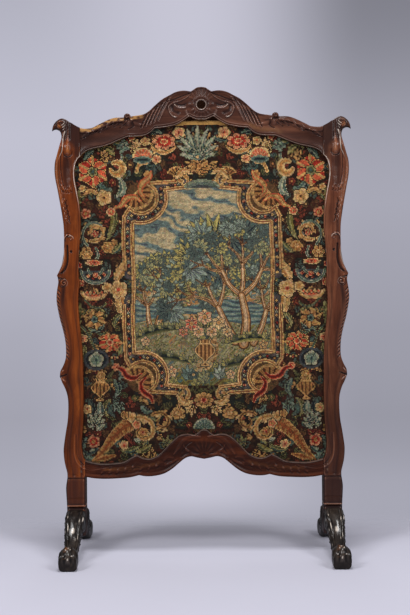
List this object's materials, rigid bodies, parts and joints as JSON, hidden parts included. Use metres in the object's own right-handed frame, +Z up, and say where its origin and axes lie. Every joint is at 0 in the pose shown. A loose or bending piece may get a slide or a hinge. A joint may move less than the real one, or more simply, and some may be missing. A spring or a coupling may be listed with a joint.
{
  "type": "fire screen",
  "caption": "Carved walnut fire screen on scroll feet, with bird-head uprights and a needlework leaf that slides up in grooves.",
  "frame": {"origin": "on the floor, under the middle of the screen", "axes": "+Z up, front towards -Y, +X to the right seen from the front"},
  "size_m": [0.728, 0.408, 1.13],
  "materials": {
    "walnut_upright": "waxed, reddish brown",
    "walnut_crest": "waxed, dark brown",
    "walnut_back": "planed, dull",
    "walnut_apron": "waxed, reddish brown",
    "walnut_foot": "polished, nearly black",
    "peg_wood": "waxed end grain",
    "leaf_wood": "bare, pale",
    "linen": "coarse weave",
    "wool_border": "wool tent stitch",
    "wool_centre": "fine wool tent stitch",
    "gold_braid": "woven braid",
    "lining_cloth": "plain weave",
    "tack_iron": "rusted a little",
    "spring_steel": "rubbed"
  },
  "bodies": {
    "frame": {"left_upright": "walnut_upright", "right_upright": "walnut_upright", "top_rail_front": "walnut_crest", "top_rail_back": "walnut_back", "bottom_rail": "walnut_apron", "left_front_foot": "walnut_foot", "left_rear_foot": "walnut_foot", "right_front_foot": "walnut_foot", "right_rear_foot": "walnut_foot", "top_rail_pegs": "peg_wood", "bottom_rail_pegs": "peg_wood", "foot_pegs": "peg_wood"},
    "leaf": {"leaf_left_stile": "leaf_wood", "leaf_right_stile": "leaf_wood", "leaf_top_rail": "leaf_wood", "leaf_middle_rail": "leaf_wood", "leaf_bottom_rail": "leaf_wood", "leaf_pegs": "peg_wood", "interlining": "linen", "needlework_border": "wool_border", "needlework_centre": "wool_centre", "top_braid": "gold_braid", "back_lining": "lining_cloth", "lining_tacks": "tack_iron", "edge_springs": "spring_steel", "spring_nails": "tack_iron"}
  },
  "joints": [
    {"name": "leaf_slide", "type": "slide", "parent": "frame", "child": "leaf", "axis": [0, 0, 1], "range_m": [0, 0.4]}
  ]
}
